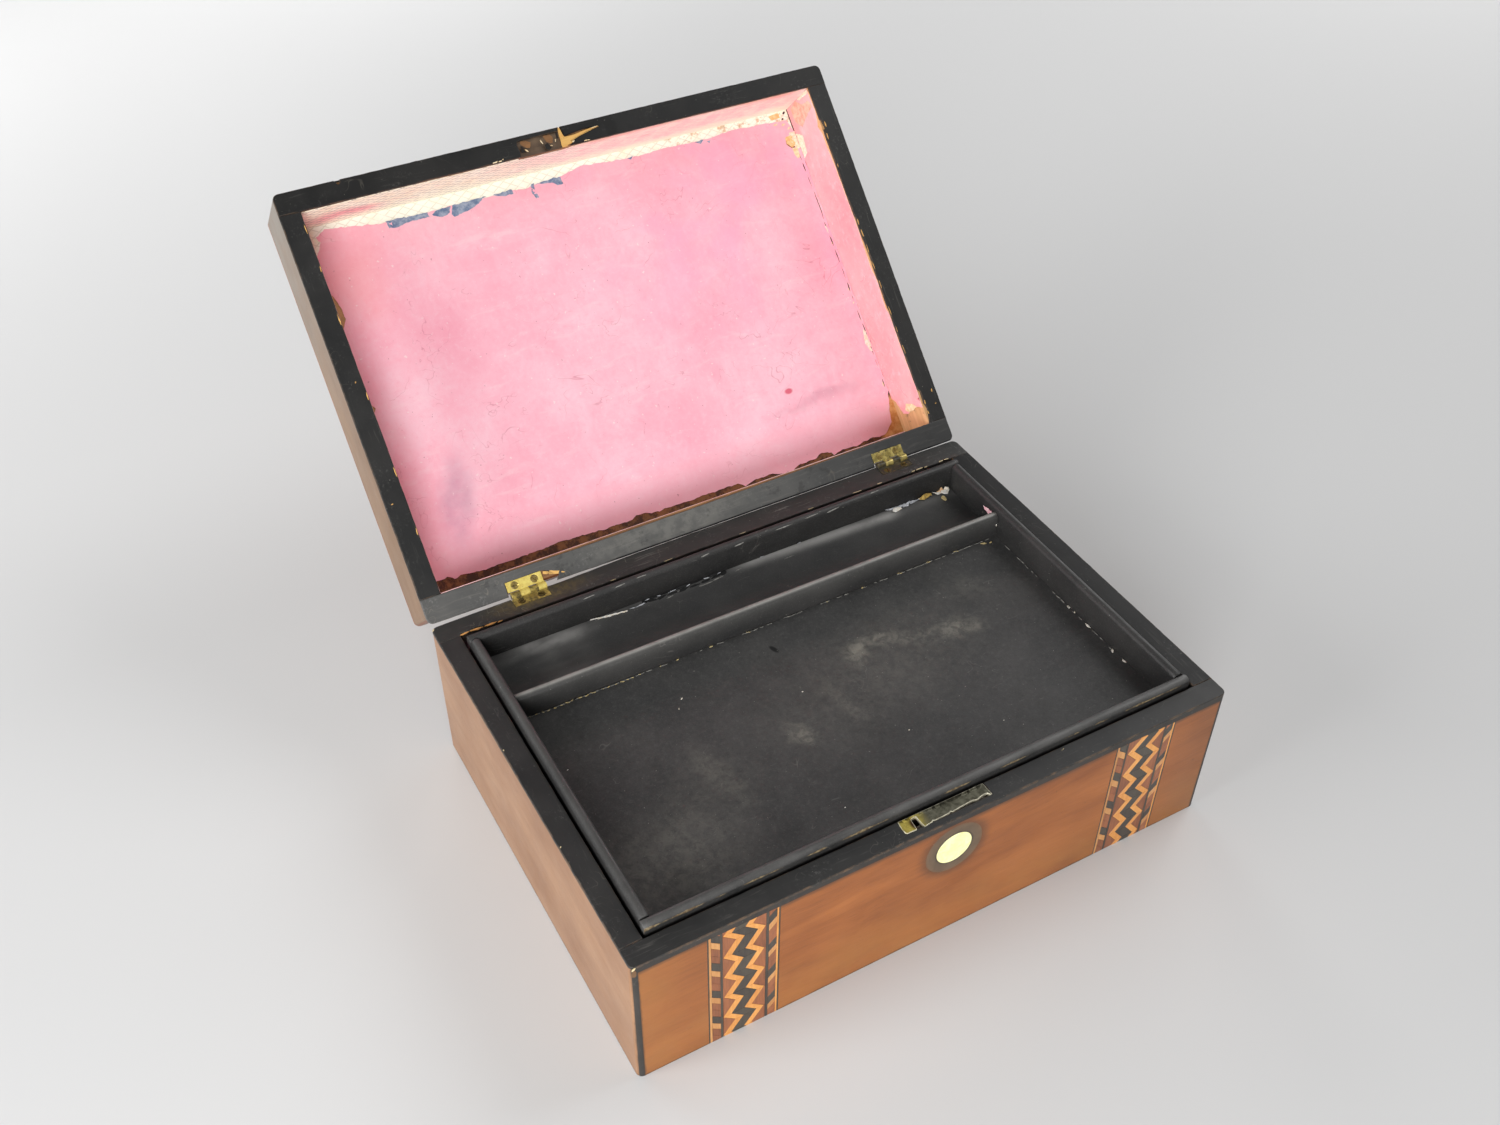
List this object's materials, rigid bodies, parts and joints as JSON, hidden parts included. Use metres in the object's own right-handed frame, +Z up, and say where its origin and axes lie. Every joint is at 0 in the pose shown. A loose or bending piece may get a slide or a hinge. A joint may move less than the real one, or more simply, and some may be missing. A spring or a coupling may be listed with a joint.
{
  "type": "work box",
  "caption": "Rectangular veneered sewing box with a hinged lid standing open, inlaid bands, a box lock, paper lining and a lift-out black tray with a pen trough.",
  "frame": {"origin": "centre of the base's underside, on the surface the box stands on", "axes": "+Z up, +X to the box's right seen from the front, +Y to the hinged back"},
  "size_m": [0.3, 0.3935, 0.2309],
  "materials": {
    "carcass_wood": "bare softwood boards",
    "walnut_veneer": "worn french polish, satin",
    "ebonised_wood": "black stain, dull satin, dusty",
    "marquetry": "zigzag inlay in several woods, satin",
    "stained_surround": "dark stained ring, satin",
    "pearl": "cream, softly polished",
    "lining_paper": "pink surface paper, matt",
    "old_brass": "tarnished",
    "lock_steel": "dull",
    "black_paper_tray": "covered in black paper, dusty satin"
  },
  "bodies": {
    "base": {"base_front_board": "carcass_wood", "base_back_board": "carcass_wood", "base_left_board": "carcass_wood", "base_right_board": "carcass_wood", "base_bottom_board": "carcass_wood", "base_front_veneer": "walnut_veneer", "base_back_veneer": "walnut_veneer", "base_left_veneer": "walnut_veneer", "base_right_veneer": "walnut_veneer", "base_front_edging": "ebonised_wood", "base_rim_front": "ebonised_wood", "base_rim_back": "ebonised_wood", "base_rim_left": "ebonised_wood", "base_rim_right": "ebonised_wood", "front_band_left": "marquetry", "front_band_right": "marquetry", "roundel_surround": "stained_surround", "pearl_roundel": "pearl", "base_floor_lining": "lining_paper", "base_wall_lining": "lining_paper", "tray_ledges": "carcass_wood", "lock_case": "lock_steel", "lock_screws": "lock_steel", "lock_selvedge": "old_brass", "hinge_left_base_leaf": "old_brass", "hinge_right_base_leaf": "old_brass", "hinge_pins": "lock_steel", "hinge_screws_base": "old_brass"},
    "lid": {"lid_front_rail": "carcass_wood", "lid_back_rail": "carcass_wood", "lid_left_rail": "carcass_wood", "lid_right_rail": "carcass_wood", "lid_top_board": "carcass_wood", "lid_front_veneer": "walnut_veneer", "lid_back_veneer": "walnut_veneer", "lid_left_veneer": "walnut_veneer", "lid_right_veneer": "walnut_veneer", "lid_top_veneer": "walnut_veneer", "lid_front_edging": "ebonised_wood", "lid_rim_front": "ebonised_wood", "lid_rim_back": "ebonised_wood", "lid_rim_left": "ebonised_wood", "lid_rim_right": "ebonised_wood", "lid_front_band_left": "marquetry", "lid_front_band_right": "marquetry", "lid_top_band_left": "marquetry", "lid_top_band_right": "marquetry", "lid_top_lining": "lining_paper", "lid_wall_lining": "lining_paper", "hinge_left_lid_leaf": "old_brass", "hinge_right_lid_leaf": "old_brass", "hinge_screws_lid": "old_brass"},
    "tray": {"tray_floor": "black_paper_tray", "tray_front": "black_paper_tray", "tray_back": "black_paper_tray", "tray_left": "black_paper_tray", "tray_right": "black_paper_tray", "tray_divider": "black_paper_tray", "pen_trough": "black_paper_tray"},
    "bolt": {"lock_bolt": "old_brass"}
  },
  "joints": [
    {"name": "lid_hinge", "type": "hinge", "parent": "base", "child": "lid", "pos_m": [0, 0.10874, 0.0787], "axis": [1, 0, 0], "range_deg": [0, 135]},
    {"name": "tray_lift", "type": "slide", "parent": "base", "child": "tray", "axis": [0, 0, 1], "range_m": [0, 0.021]},
    {"name": "bolt_throw", "type": "slide", "parent": "base", "child": "bolt", "axis": [-1, 0, 0], "range_m": [0, 0.0045]}
  ]
}
